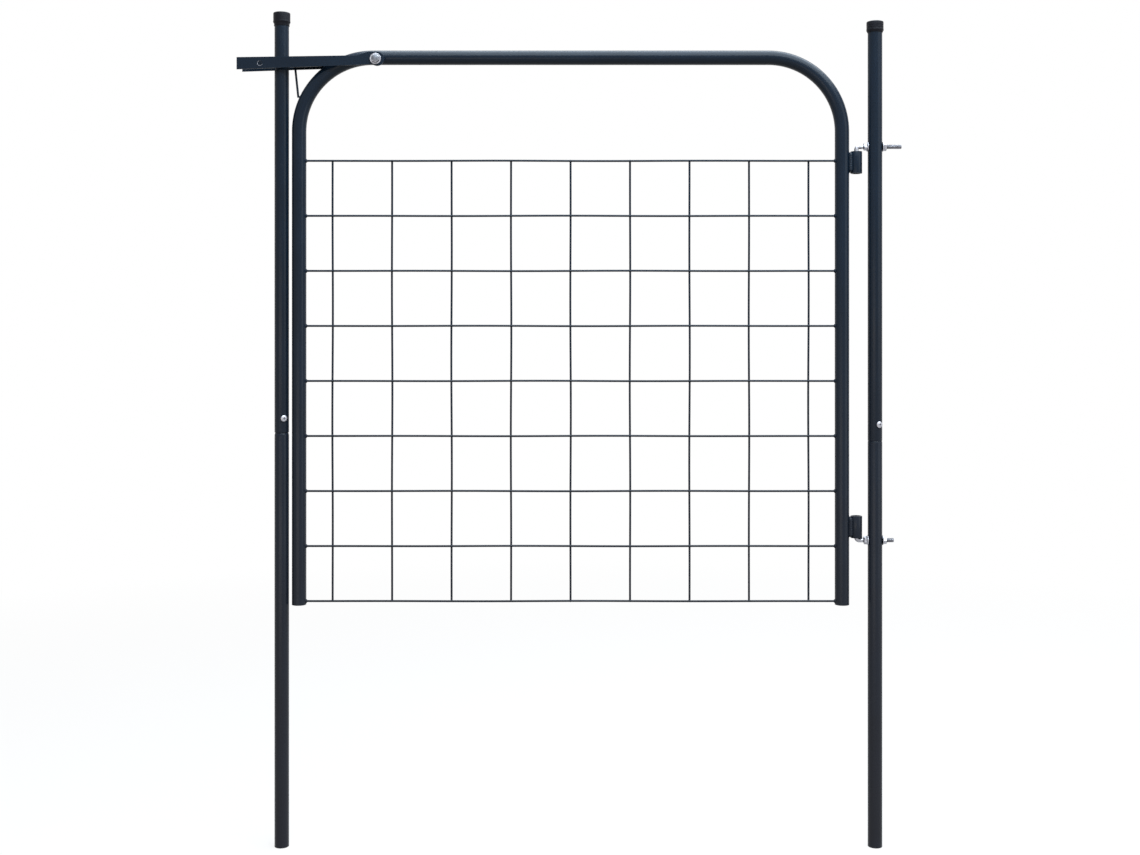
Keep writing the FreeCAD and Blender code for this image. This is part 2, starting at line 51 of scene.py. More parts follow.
# Sizes in millimetres, in the frame's own axes

# Tubes: radii, the posts' places and heights, the leaf's outline
TUBE = 13.0
BORE = 11.75
SPIGOT = 11.65
SPIGOT_WALL = 1.25
SPIGOT_LENGTH = 56.0
HINGE_POST = 0.0
HINGE_SPLICE = 736.0
HINGE_TOP = 1495.5
LATCH_POST = -1078.5
LATCH_SPLICE = 749.0
LATCH_TOP = 1511.5
STILE_LEFT = -1047.0
STILE_RIGHT = -60.0
LEAF_BOTTOM = 439.0
LEAF_TOP = 1433.0
BEND = 134.0

# Caps and splice screws
CAP_OUTER = 15.5
CAP_BORE = 13.1
CAP_TOP = 3.0
SCREW_HEAD = 6.0
SCREW_SHANK = 2.4
SCREW_REACH = 14.0

# Hinges
HINGE_AXIS = -34.0
UPPER_PIN = 1271.0
LOWER_PIN = 556.0
THREAD = 4.0
SHANK = 3.96
PIN_BEND = 5.5
NUT_FLAT = 6.5
NUT_HEIGHT = 7.5
NUT_FOOT = 1.2
BARREL = 10.5
BARREL_BORE = 7.5
BARREL_LENGTH = 40.0
BUSH_BORE = 4.08
BUSH_LENGTH = 24.0
BUSH_INSET = 6.0

# Mesh
WIRE = 1.92
WIRE_OFFSET = 1.4
WIRE_COUNT = 9
LEVEL_FIRST = 445.5
LEVEL_PITCH = 100.0
UPRIGHT_FIRST = -986.3
UPRIGHT_PITCH = 108.2
WIRE_STEPS = 40

# Latch: u runs along the bars from the pivot, v runs up
PIVOT = (-905.2, 1427.0)
BAR_FACE = 20.5
BAR_OUTER = 22.5
BAR_THICK = 2.0
BAR_HEAD = 13.0
HEAD_SHIFT = 3.0
POST_SPAN = 173.3
BAR_TIP = -POST_SPAN - 77.0
BACK_END = -84.0
PADLOCK = (-POST_SPAN - 35.0, -8.2)
BRIDGE_CLEAR = 5.4
BRIDGE_NEAR = 88.0
BRIDGE_LIFT = 0.9
WASHER_FACE = 22.65
BOLT_SEAT = 24.25
BOLT_HEAD = 5.3
RING_BORE = 4.05
INSERT = 5.5
INSERT_LENGTH = 14.0
INSERT_FLANGE = 7.0


class Shape:
    """The closed shells of one piece, in millimetres."""

    def __init__(self):
        self.points = []
        self.faces = []

    def ring(self, points):
        """Adds the points and gives back their numbers."""
        first = len(self.points)
        self.points.extend(Vector(p) for p in points)
        return list(range(first, len(self.points)))

    def join(self, low, high):
        """Faces between two rings. A ring of a single point is a tip."""
        if len(low) == 1:
            low = low * len(high)
        if len(high) == 1:
            high = high * len(low)
        for i in range(len(low)):
            k = (i + 1) % len(low)
            corners = []
            for corner in (low[i], low[k], high[k], high[i]):
                if corner not in corners:
                    corners.append(corner)
            if len(corners) > 2:
                self.faces.append(corners)

    def chain(self, rings, closed=False):
        for low, high in zip(rings, rings[1:]):
            self.join(low, high)
        if closed:
            self.join(rings[-1], rings[0])

    def build(self, name, smooth=38):
        """The mesh object; edges of more than smooth degrees stay sharp."""
        mesh = bpy.data.meshes.new(name)
        mesh.from_pydata([p * MM for p in self.points], [], self.faces)
        mesh.validate()
        mesh.shade_smooth()
        mesh.set_sharp_from_angle(angle=math.radians(smooth))
        mesh.update()
        piece = bpy.data.objects.new(name, mesh)
        bpy.context.scene.collection.objects.link(piece)
        return piece


def across(axis):
    """Two directions square to an axis and to each other, right-handed with it."""
    axis = Vector(axis).normalized()
    helper = Y if abs(axis.y) < 0.9 else X
    side = helper.cross(axis).normalized()
    return side, axis.cross(side)


def turned(shape, profile, origin, axis, segments=64):
    """A closed profile of (radius, height) turned about an axis."""
    axis = Vector(axis).normalized()
    side, other = across(axis)
    rings = []
    for radius, height in profile:
        middle = Vector(origin) + axis * height
        if radius < 1e-6:
            rings.append(shape.ring([middle]))
            continue
        turns = [2 * math.pi * i / segments for i in range(segments)]
        rings.append(
            shape.ring(
                [middle + (side * math.cos(t) + other * math.sin(t)) * radius for t in turns]
            )
        )
    shape.chain(rings, closed=True)


def swept_rings(shape, path, radii, segments, flat=Y):
    """Rings of points round a path that lies square to the direction flat."""
    rings = []
    for i, middle in enumerate(path):
        ahead = path[min(i + 1, len(path) - 1)] - path[max(i - 1, 0)]
        side = ahead.normalized().cross(flat).normalized()
        turns = [2 * math.pi * (k + 0.5) / segments for k in range(segments)]
        rings.append(
            shape.ring(
                [
                    middle + side * math.cos(t) * radii[i] + flat * math.sin(t) * radii[i]
                    for t in turns
                ]
            )
        )
    return rings


def rod(shape, path, radius, segments=24, flat=Y, edge=0.4):
    """A solid round bar along a path, its ends slightly chamfered."""
    start = (path[1] - path[0]).normalized()
    finish = (path[-1] - path[-2]).normalized()
    line = [path[0], path[0] + start * edge] + list(path[1:-1])
    line += [path[-1] - finish * edge, path[-1]]
    radii = [radius - edge] + [radius] * (len(line) - 2) + [radius - edge]
    rings = swept_rings(shape, line, radii, segments, flat)
    tip = [shape.ring([path[0]]), shape.ring([path[-1]])]
    shape.chain([tip[0]] + rings + [tip[1]])


def pipe(shape, path, outer, inner, segments=64, edge=0.3):
    """An open tube along a path, its cut ends slightly broken."""
    start = (path[1] - path[0]).normalized()
    finish = (path[-1] - path[-2]).normalized()
    line = [path[0], path[0] + start * edge] + list(path[1:-1])
    line += [path[-1] - finish * edge, path[-1]]
    count = len(line)
    wide = [outer - edge] + [outer] * (count - 2) + [outer - edge]
    narrow = [inner + edge] + [inner] * (count - 2) + [inner + edge]
    skin = swept_rings(shape, line, wide, segments)
    lining = swept_rings(shape, line, narrow, segments)
    shape.chain(skin + lining[::-1], closed=True)


def arc(centre, radius, begin, finish, steps):
    """Points of an arc in the XZ plane, angles in degrees."""
    points = []
    for i in range(steps + 1):
        turn = math.radians(begin + (finish - begin) * i / steps)
        points.append(
            Vector((centre[0] + radius * math.cos(turn), 0, centre[1] + radius * math.sin(turn)))
        )
    return points


def threaded(shape, origin, axis, length, pitch=1.25, segments=28, lead=1.2):
    """A rod with a rolled screw thread and chamfered ends."""
    axis = Vector(axis).normalized()
    side, other = across(axis)
    depth = pitch * 0.54
    step = pitch / 8
    chamfer = depth + 0.35
    count = int(length / step)
    rings = [shape.ring([Vector(origin)])]
    for i in range(count + 1):
        height = length * i / count
        taper = min(height, length - height)
        limit = THREAD - chamfer + min(taper, lead) / lead * chamfer
        points = []
        for k in range(segments):
            turn = 2 * math.pi * k / segments
            phase = (height / pitch - k / segments) % 1.0
            rise = min(1.0, max(0.0, (abs(phase - 0.5) * 2 - 0.1) / 0.75))
            reach = min(THREAD - depth + depth * rise, limit)
            points.append(
                Vector(origin)
                + axis * height
                + (side * math.cos(turn) + other * math.sin(turn)) * reach
            )
        rings.append(shape.ring(points))
    rings.append(shape.ring([Vector(origin) + axis * length]))
    shape.chain(rings)


def hexagon(shape, origin, axis, flat, height, bore=0.0, foot=0.0, turn=0.0, segments=72):
    """A hexagon prism with turned-off corners, bored where bore is given."""
    axis = Vector(axis).normalized()
    side, other = across(axis)
    chamfer = flat * 0.96
    slope = math.tan(math.radians(30))

    def ring(reach_of, height_of):
        points = []
        for k in range(segments):
            angle = 2 * math.pi * k / segments
            within = (angle + math.pi / 6) % (math.pi / 3) - math.pi / 6
            corner = flat / math.cos(within - math.pi / 6 if within > 0 else within + math.pi / 6)
            reach = reach_of(corner)
            facing = angle + math.radians(turn)
            points.append(
                Vector(origin)
                + axis * height_of(corner)
                + (side * math.cos(facing) + other * math.sin(facing)) * reach
            )
        return shape.ring(points)

    def drop(corner):
        return max(0.0, corner - chamfer) * slope

    rings = [
        ring(lambda c: min(c, chamfer), lambda c: foot),
        ring(lambda c: c, lambda c: foot + drop(c)),
        ring(lambda c: c, lambda c: height - drop(c)),
        ring(lambda c: min(c, chamfer), lambda c: height),
    ]
    if bore:
        rings += [
            ring(lambda c: bore + 0.5, lambda c: height),
            ring(lambda c: bore, lambda c: height - 0.5),
            ring(lambda c: bore, lambda c: foot),
        ]
        shape.chain(rings, closed=True)
    else:
        low = shape.ring([Vector(origin) + axis * foot])
        high = shape.ring([Vector(origin) + axis * height])
        shape.chain([low] + rings + [high])


def offset(outline, distance):
    """A closed outline moved inwards by a distance; the outline runs counter-clockwise."""
    moved = []
    count = len(outline)
    for i, here in enumerate(outline):
        before = outline[i - 1]
        after = outline[(i + 1) % count]
        first = (here - before).normalized()
        second = (after - here).normalized()
        one = Vector((-first.y, first.x))
        two = Vector((-second.y, second.x))
        moved.append(here + (one + two) * (distance / max(0.3, 1 + one.dot(two))))
    return moved


def plate(shape, outline, holes, place, thick, edge=0.4):
    """A flat plate with broken edges. place turns (u, v, depth) into a point."""
    steps = [(edge, 0.0), (edge * 0.3, edge * 0.3), (0.0, edge)]
    levels = steps + [(inset, thick - depth) for inset, depth in reversed(steps)]
    loops = [[Vector(p) for p in outline]] + [[Vector(p) for p in hole] for hole in holes]
    ends = []
    for loop in loops:
        rings = []
        for inset, depth in levels:
            rings.append(shape.ring([place(p.x, p.y, depth) for p in offset(loop, inset)]))
        shape.chain(rings)
        ends.append((rings[0], rings[-1]))
    flats = [[Vector((p.x, p.y, 0)) for p in offset(loop, edge)] for loop in loops]
    for side in (0, 1):
        index = [corner for end in ends for corner in end[side]]
        for triangle in tessellate_polygon(flats):
            shape.faces.append([index[corner] for corner in triangle])


def bead(shape, path, radius, ripple, pitch=2.6, segments=12):
    """A weld bead: a rippled bar with rounded ends along a straight or curved line."""
    length = sum((b - a).length for a, b in zip(path, path[1:]))
    count = max(6, int(length / 0.65))
    line = []
    radii = []
    for i in range(count + 1):
        along = length * i / count
        left = along
        for a, b in zip(path, path[1:]):
            stretch = (b - a).length
            if left <= stretch + 1e-6:
                line.append(a.lerp(b, left / stretch))
                break
            left -= stretch
        end = min(along, length - along) / radius
        swell = math.sqrt(max(0.06, 1 - (1 - min(end, 1.0)) ** 2))
        wave = 1 + ripple * math.sin(2 * math.pi * along / pitch)
        radii.append(radius * swell * wave)
    rings = swept_rings(shape, line, radii, segments)
    shape.chain([shape.ring([line[0]])] + rings + [shape.ring([line[-1]])])


def nugget(shape, middle, radii, segments, levels):
    """A squashed ball, as where two wires are fused or a blob of weld has set."""
    middle = Vector(middle)
    rings = [shape.ring([middle - Z * radii[2]])]
    for level in range(1, levels):
        lift = -math.pi / 2 + math.pi * level / levels
        points = []
        for k in range(segments):
            turn = 2 * math.pi * k / segments
            points.append(
                middle
                + Vector(
                    (
                        radii[0] * math.cos(lift) * math.cos(turn),
                        radii[1] * math.cos(lift) * math.sin(turn),
                        radii[2] * math.sin(lift),
                    )
                )
            )
        rings.append(shape.ring(points))
    rings.append(shape.ring([middle + Z * radii[2]]))
    shape.chain(rings)


# Materials

def surface(name, colour, roughness, metallic, specular):
    """A node material whose plain numbers sit on the shader's own sockets."""
    material = bpy.data.materials.new(name)
    material.use_nodes = True
    shader = material.node_tree.nodes["Principled BSDF"]
    shader.inputs["Base Color"].default_value = (*colour, 1)
    shader.inputs["Roughness"].default_value = roughness
    shader.inputs["Metallic"].default_value = metallic
    shader.inputs["Specular IOR Level"].default_value = specular
    return material, shader


def linear(colour):
    """A display colour in linear light."""
    return [c / 12.92 if c <= 0.04045 else ((c + 0.055) / 1.055) ** 2.4 for c in colour]


def noise(tree, scale, detail, rough=0.5):
    """Noise of 0 to 1 that keeps its place on the piece."""
    where = tree.nodes.new("ShaderNodeTexCoord")
    texture = tree.nodes.new("ShaderNodeTexNoise")
    texture.inputs["Scale"].default_value = scale
    texture.inputs["Detail"].default_value = detail
    texture.inputs["Roughness"].default_value = rough
    tree.links.new(where.outputs["Object"], texture.inputs["Vector"])
    return texture.outputs["Fac"]


def spread(tree, value, low, high, to_low, to_high):
    """A value's range low..high stretched to to_low..to_high."""
    node = tree.nodes.new("ShaderNodeMapRange")
    node.inputs["From Min"].default_value = low
    node.inputs["From Max"].default_value = high
    node.inputs["To Min"].default_value = to_low
    node.inputs["To Max"].default_value = to_high
    tree.links.new(value, node.inputs["Value"])
    return node.outputs["Result"]


def blended(tree, factor, first, second):
    """Two colours mixed; each is a plain colour or another node's output."""
    node = tree.nodes.new("ShaderNodeMix")
    node.data_type = "RGBA"
    tree.links.new(factor, node.inputs["Factor"])
    for socket in node.inputs:
        if socket.type != "RGBA":
            continue
        colour = first if socket.name == "A" else second
        if isinstance(colour, bpy.types.NodeSocket):
            tree.links.new(colour, socket)
        else:
            socket.default_value = (*colour, 1)
    return [s for s in node.outputs if s.type == "RGBA"][0]


def corner_shade(tree, distance, low, high):
    """Painted shade: 0 in the open, 1 deep in a corner."""
    node = tree.nodes.new("ShaderNodeAmbientOcclusion")
    node.inputs["Distance"].default_value = distance
    return spread(tree, node.outputs["AO"], low, high, 1.0, 0.0)


def bumped(tree, shader, layers):
    """Bumps laid over each other: each layer is (height, distance in metres, strength)."""
    normal = None
    for height, distance, strength in layers:
        node = tree.nodes.new("ShaderNodeBump")
        node.inputs["Distance"].default_value = distance
        node.inputs["Strength"].default_value = strength
        tree.links.new(height, node.inputs["Height"])
        if normal:
            tree.links.new(normal, node.inputs["Normal"])
        normal = node.outputs["Normal"]
    tree.links.new(normal, shader.inputs["Normal"])


def powder_coat():
    """Satin powder coat: orange peel, faint clouding, a little dust, and warm light painted in
    towards the ground.
    """
    base = linear((0.06, 0.107, 0.157))
    material, shader = surface("powder_coat", base, 0.25, 0.0, 0.15)
    tree = material.node_tree
    cloud = spread(tree, noise(tree, 7.0, 4.0), 0.35, 0.65, 0.0, 1.0)
    tone = blended(tree, cloud, [c * 0.88 for c in base], [c * 1.12 for c in base])
    dust = spread(tree, noise(tree, 60.0, 6.0, 0.65), 0.6, 0.85, 0.0, 0.2)
    tone = blended(tree, dust, tone, linear((0.2, 0.22, 0.24)))
    where = tree.nodes.new("ShaderNodeTexCoord")
    parts = tree.nodes.new("ShaderNodeSeparateXYZ")
    tree.links.new(where.outputs["Object"], parts.inputs["Vector"])
    # Painted light: the coat turns warmer and lighter towards the ground, standing in for warm
    # light from below
    warm_low_light = spread(tree, parts.outputs["Z"], 0.1, 1.1, 0.38, 0.0)
    tone = blended(tree, warm_low_light, tone, linear((0.2, 0.17, 0.16)))
    tree.links.new(tone, shader.inputs["Base Color"])
    gloss = spread(tree, noise(tree, 22.0, 5.0), 0.3, 0.7, 0.21, 0.3)
    tree.links.new(gloss, shader.inputs["Roughness"])
    bumped(
        tree,
        shader,
        [
            (noise(tree, 420.0, 2.0), 0.0003, 0.35),
            (noise(tree, 1900.0, 2.0), 0.00008, 0.3),
        ],
    )
    return material


def zinc_plate(name, colour, cloudy):
    """Zinc on turned and rolled steel, with shade painted dark into its corners."""
    base = linear(colour)
    material, shader = surface(name, base, 0.4, 1.0, 0.5)
    tree = material.node_tree
    cloud = spread(tree, noise(tree, 260.0, 4.0), 0.35, 0.68, 0.0, 1.0)
    tone = blended(tree, cloud, base, linear(cloudy))
    # Painted shade: the zinc goes near-black where ambient occlusion finds a corner
    tone = blended(tree, corner_shade(tree, 0.004, 0.4, 0.8), tone, linear((0.12, 0.12, 0.13)))
    tree.links.new(tone, shader.inputs["Base Color"])
    gloss = spread(tree, noise(tree, 500.0, 5.0), 0.3, 0.7, 0.34, 0.5)
    tree.links.new(gloss, shader.inputs["Roughness"])
    bumped(tree, shader, [(noise(tree, 2400.0, 3.0), 0.00003, 0.2)])
    return material


def moulded(name, colour, roughness):
    """Moulded plastic with a fine spark-eroded grain."""
    base = linear(colour)
    material, shader = surface(name, base, roughness, 0.0, 0.12)
    tree = material.node_tree
    cloud = spread(tree, noise(tree, 40.0, 4.0), 0.35, 0.65, 0.0, 1.0)
    tone = blended(tree, cloud, [c * 0.85 for c in base], [c * 1.2 for c in base])
    tree.links.new(tone, shader.inputs["Base Color"])
    gloss = spread(tree, noise(tree, 90.0, 4.0), 0.3, 0.7, roughness - 0.07, roughness + 0.1)
    tree.links.new(gloss, shader.inputs["Roughness"])
    bumped(tree, shader, [(noise(tree, 1500.0, 3.0), 0.0001, 0.35)])
    return material


FINISHES = {
    "frame_paint": powder_coat(),
    "zinc": zinc_plate("zinc_plate", (0.68, 0.68, 0.71), (0.57, 0.57, 0.59)),
    "cap_plastic": moulded("cap_plastic", (0.056, 0.059, 0.085), 0.45),
    "bush_plastic": moulded("bush_plastic", (0.06, 0.06, 0.07), 0.42),
}
# A darker copy of the zinc, used only to paint light: a highlight round the padlock hole and
# shade on the bolt head's front face
PAINTED_LIGHT_ZINC = zinc_plate("zinc_painted_light", (0.46, 0.47, 0.5), (0.36, 0.37, 0.39))
SLOT_OF = {part["node"]: part["material_slot"] for part in frame["record"]["subparts"]}
BODY_OF = {
    node: body for body, nodes in frame["record"]["behaviour"]["bodies"].items() for node in nodes
}


def dress(node, shape, smooth=38):
    """Stand the shape in for its CAD node, with that node's body and finish."""
    piece = shape.build(node + "_look", smooth)
    piece.data.materials.append(FINISHES[SLOT_OF[node]])
    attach(piece, BODY_OF[node])
    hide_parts(node)
    return piece


# Posts

def post(side, x, splice, gap, top):
    """Two lengths of tube: the lower one is drawn down to a spigot inside the upper one."""
    bottom = splice + gap
    shoulder = bottom - 0.2
    end = splice + SPIGOT_LENGTH
    lower = Shape()
    turned(
        lower,
        [
            (BORE + 0.3, 0),
            (TUBE - 0.3, 0),
            (TUBE, 0.3),
            (TUBE, splice - 2.0),
            (TUBE - 0.08, splice - 1.0),
            (TUBE - 0.35, splice),
            (SPIGOT + 0.55, splice + gap * 0.45),
            (SPIGOT, shoulder),
            (SPIGOT, end - 0.3),
            (SPIGOT - 0.3, end),
            (SPIGOT - SPIGOT_WALL, end),
            (SPIGOT - SPIGOT_WALL, shoulder),
            (BORE, splice - 2.0),
            (BORE, 0.3),
        ],
        (x, 0, 0),
        Z,
    )
    dress(side + "_post_lower", lower)
    upper = Shape()
    turned(
        upper,
        [
            (BORE + 0.2, bottom),
            (TUBE - 0.5, bottom),
            (TUBE - 0.12, bottom + 0.22),
            (TUBE, bottom + 0.7),
            (TUBE, top - 0.3),
            (TUBE - 0.3, top),
            (BORE, top),
            (BORE, bottom + 0.2),
        ],
        (x, 0, 0),
        Z,
    )
    dress(side + "_post_upper", upper)


def cap(side, x, tube_top, height, sleeve, grooves):
    """A push-on cap: tight sleeve, flared skirt, rounded top edge and a shallow dished top."""
    outer = CAP_OUTER
    profile = [(CAP_BORE, 0.4), (13.35, 0), (13.7, 0.1), (13.85, 0.5)]
    if sleeve:
        profile += [(13.9, sleeve)]
    profile += [
        (14.3, sleeve + 0.7),
        (15.1, sleeve + 2.4),
        (outer, sleeve + 3.1),
        (outer, sleeve + 4.1),
        (outer - 0.18, sleeve + 5.2),
        (outer - 0.25, sleeve + 6.5),
    ]
    for groove in grooves:
        profile += [
            (outer - 0.25, groove - 0.7),
            (outer - 0.6, groove - 0.35),
            (outer - 0.6, groove + 0.35),
            (outer - 0.25, groove + 0.7),
        ]
    profile += [
        (outer - 0.2, height - 2.2),
        (outer - 0.3, height - 1.3),
        (outer - 0.75, height - 0.5),
        (outer - 1.6, height - 0.1),
        (outer - 2.6, height),
        (outer - 3.8, height - 0.15),
        (outer - 4.6, height - 0.55),
        (5, height - 0.7),
        (0, height - 0.7),
        (0, height - CAP_TOP),
        (CAP_BORE, height - CAP_TOP),
    ]
    shape = Shape()
    turned(shape, profile, (x, 0, tube_top + CAP_TOP - height), Z, 72)
    dress(side + "_post_cap", shape)


def screw(side, x, height, angle):
    """A pan-head screw with a cross recess, square to the post's wall."""
    out = Vector((math.sin(math.radians(angle)), -math.cos(math.radians(angle)), 0))
    sideways = Vector((-out.y, out.x, 0))
    centre = Vector((x, 0, height)) + out * TUBE
    shape = Shape()

    def ring(radius, lift_of, segments=96):
        points = []
        for k in range(segments):
            turn = 2 * math.pi * k / segments
            u = radius * math.cos(turn)
            v = radius * math.sin(turn)
            points.append(centre + sideways * u + Z * v + out * lift_of(u, v))
        return shape.ring(points)

    steps = 30
    rings = [shape.ring([centre + out * pan_head(0, 0)])]
    rings += [ring(SCREW_HEAD * step / steps, pan_head) for step in range(1, steps + 1)]
    rings += [ring(radius, lambda u, v: 0.0) for radius in (SCREW_HEAD, SCREW_SHANK)]
    rings.append(ring(SCREW_SHANK, lambda u, v: 2.0 - SCREW_REACH))
    rings.append(shape.ring([centre - out * SCREW_REACH]))
    shape.chain(rings)
    dress(side + "_post_screw", shape, 50)


def pan_head(u, v):
    """How far the screw's domed head, with its cross recess, stands off the wall at (u, v)."""
    radius = math.hypot(u, v)
    lift = 0.55 + 2.4 * math.sqrt(max(0.0, 1 - (radius / 6.05) ** 2.6))
    along = max(abs(u), abs(v))
    beside = min(abs(u), abs(v))
    arm = 2.9
    half_width = 0.75 - along * 0.08
    if along < arm and beside < half_width:
        depth = min((half_width - beside) / 0.22, (arm - along) / 0.5, 1.0)
        lift -= 1.7 * depth * (1 - along / 4.5)
    return lift


post("hinge", HINGE_POST, HINGE_SPLICE, gap=0.8, top=HINGE_TOP)
post("latch", LATCH_POST, LATCH_SPLICE, gap=3.0, top=LATCH_TOP)
cap("hinge", HINGE_POST, HINGE_TOP, height=20.0, sleeve=0.8, grooves=(8.2, 12.4))
cap("latch", LATCH_POST, LATCH_TOP, height=24.5, sleeve=4.2, grooves=())
screw("hinge", HINGE_POST, HINGE_SPLICE + 30.8, angle=24)
screw("latch", LATCH_POST, LATCH_SPLICE + 29.0, angle=29)


# Hinges

def pin(name, height, leg, end, up):
    """A threaded rod bent to a right angle; up says which way the plain leg points."""
    way = 1 if up else -1
    tip = Vector((HINGE_AXIS, 0, height + way * leg))
    path = [tip, tip.lerp(Vector((HINGE_AXIS, 0, height + way * PIN_BEND)), 0.5)]
    middle = (HINGE_AXIS + PIN_BEND, height + way * PIN_BEND)
    path += arc(middle, PIN_BEND, 180, 180 + way * 90, 14)
    start = HINGE_AXIS + 11
    path += [Vector((start + 1.5, 0, height))]
    shape = Shape()
    rod(shape, path, SHANK, 32, edge=0.7)
    threaded(shape, (start, 0, height), X, end - start)
    dress(name, shape)


def flange_nut(name, face, height, way, turn):
    """A hexagon nut with a flange at its foot, run up against the post."""
    shape = Shape()
    origin = (face, 0, height)
    hexagon(shape, origin, X * way, NUT_FLAT, NUT_HEIGHT, bore=3.75, foot=NUT_FOOT, turn=turn)
    turned(
        shape,
        [
            (3.9, 0.0),
            (8.3, 0.0),
            (8.75, 0.3),
            (8.75, 0.8),
            (8.45, 1.25),
            (6.6, 3.2),
            (6.0, 3.3),
            (3.9, 3.3),
        ],
        origin,
        X * way,
    )
    dress(name, shape)


def barrel(side, bottom):
    """A short tube with a lug to the stile, welded down both sides."""
    length = BARREL_LENGTH
    shape = Shape()
    turned(
        shape,
        [
            (BARREL_BORE, 0.5),
            (BARREL_BORE + 0.5, 0),
            (BARREL - 0.6, 0),
            (BARREL - 0.17, 0.18),
            (BARREL, 0.6),
            (BARREL, length - 0.6),
            (BARREL - 0.17, length - 0.18),
            (BARREL - 0.6, length),
            (BARREL_BORE + 0.5, length),
            (BARREL_BORE, length - 0.5),
        ],
        (HINGE_AXIS, 0, bottom),
        Z,
    )
    low = bottom + 1.5
    high = bottom + length - 1.5
    far = STILE_RIGHT + TUBE - 0.2
    near = HINGE_AXIS - BARREL + 2.1
    outline = [(far, -3.5), (near, -3.5), (near, 3.5), (far, 3.5)]
    plate(shape, outline, [], lambda u, v, depth: Vector((u, v, low + depth)), high - low)
    for way in (-1, 1):
        line = [Vector((far + 1.5, way * 6.0, z)) for z in (low + 1.0, high - 1.0)]
        bead(shape, line, 4.2, ripple=0.05, pitch=3.2, segments=16)
    dress(side + "_hinge_barrel", shape)
    length = BUSH_LENGTH
    sleeve = Shape()
    turned(
        sleeve,
        [
            (BUSH_BORE, 0.4),
            (4.5, 0),
            (7.05, 0),
            (7.45, 0.4),
            (7.45, length - 0.4),
            (7.05, length),
            (4.5, length),
            (BUSH_BORE, length - 0.4),
        ],
        (HINGE_AXIS, 0, bottom + BUSH_INSET),
        Z,
        48,
    )
    dress(side + "_hinge_bush", sleeve)


pin("upper_hinge_pin", UPPER_PIN, leg=40.0, end=48.0, up=False)
pin("lower_hinge_pin", LOWER_PIN, leg=38.0, end=34.0, up=True)
flange_nut("upper_hinge_outer_nut", TUBE, UPPER_PIN, way=1, turn=8)
flange_nut("upper_hinge_inner_nut", -TUBE, UPPER_PIN, way=-1, turn=21)
flange_nut("lower_hinge_outer_nut", TUBE, LOWER_PIN, way=1, turn=27)
flange_nut("lower_hinge_inner_nut", -TUBE, LOWER_PIN, way=-1, turn=4)
barrel("upper", UPPER_PIN - 48.5)
barrel("lower", LOWER_PIN + 4.4)


# Leaf

leaf_path = [Vector((STILE_LEFT, 0, LEAF_BOTTOM))]
leaf_path += arc((STILE_LEFT + BEND, LEAF_TOP - BEND), BEND, 180, 90, 28)
leaf_path += arc((STILE_RIGHT - BEND, LEAF_TOP - BEND), BEND, 90, 0, 28)
leaf_path += [Vector((STILE_RIGHT, 0, LEAF_BOTTOM))]
leaf = Shape()
pipe(leaf, leaf_path, TUBE, BORE)
dress("leaf_frame", leaf)


def wavy(start, end, axis, height, pace, phase):
    """A wire's line, with a slight wave along one axis that fades out at both ends."""
    line = []
    for i in range(WIRE_STEPS + 1):
        point = start.lerp(end, i / WIRE_STEPS)
        point[axis] += height * math.sin(i * pace + phase) * math.sin(math.pi * i / WIRE_STEPS)
        line.append(point)
    return line


levels = [LEVEL_FIRST + LEVEL_PITCH * k for k in range(WIRE_COUNT)]
uprights = [UPRIGHT_FIRST + UPRIGHT_PITCH * k for k in range(WIRE_COUNT)]
walls = (STILE_LEFT + TUBE, STILE_RIGHT - TUBE)
mesh = Shape()
for number, level in enumerate(levels):
    start = Vector((walls[0] - 1.2, -WIRE_OFFSET, level))
    end = Vector((walls[1] + 1.2, -WIRE_OFFSET, level))
    rod(mesh, wavy(start, end, 2, 0.35, 0.37, number * 1.9), WIRE, 16)
    for x in walls:
        nugget(mesh, (x, -WIRE_OFFSET, level), (2.6, 3.6, 3.8), 14, 8)
for number, x in enumerate(uprights):
    start = Vector((x, WIRE_OFFSET, levels[0] - 1.75))
    end = Vector((x, WIRE_OFFSET, levels[-1] + 1.75))
    rod(mesh, wavy(start, end, 0, 0.5, 0.29, number * 2.3), WIRE, 16)
    for level in levels:
        nugget(mesh, (x, 0, level), (2.3, 1.3, 2.3), 10, 6)
dress("mesh_panel", mesh)

rest = Shape()
foot = Vector((-1048.4, 0, 1360.6))
tip = Vector((-1055.4, 0, 1427.3))
rod(rest, [foot, foot.lerp(tip, 0.5), tip], 2.0)
nugget(rest, (-1046.2, 0, 1361.2), (1.6, 2.6, 2.4), 16, 8)
dress("latch_rest_rod", rest)


# Latch

def hole(x, y, radius, count=40):
    """A round hole's outline, clockwise as plate() needs it."""
    turns = [2 * math.pi * i / count for i in reversed(range(count))]
    return [(x + radius * math.cos(t), y + radius * math.sin(t)) for t in turns]


def bar(outline, holes, face):
    """A flat side bar of the fork, standing off from the gate's plane."""

    def place(u, v, depth):
        return Vector((PIVOT[0] + u, face + depth, PIVOT[1] + v))

    shape = Shape()
    plate(shape, outline, holes, place, BAR_THICK, edge=0.45)
    return shape


outline = [(BAR_TIP, -19.2)]
outline += [
    (HEAD_SHIFT + BAR_HEAD * math.cos(math.radians(t)), BAR_HEAD * math.sin(math.radians(t)))
    for t in [-126.87] + list(range(-120, 91, 10))
]
outline += [(-12.6, 13.0), (-14.5, 12.6), (-33.1, 6.4), (-35.0, 6.08), (BAR_TIP, 2.9)]
holes = [hole(0, 0, 4.08, 32), hole(*PADLOCK, 4.3)]
dress("latch_front_bar", bar(outline, holes, -BAR_OUTER))
outline = [(BAR_TIP, -15.2), (BACK_END, -9.88), (BACK_END, 5.29), (BAR_TIP, 4.4)]
dress("latch_back_bar", bar(outline, [], BAR_FACE))
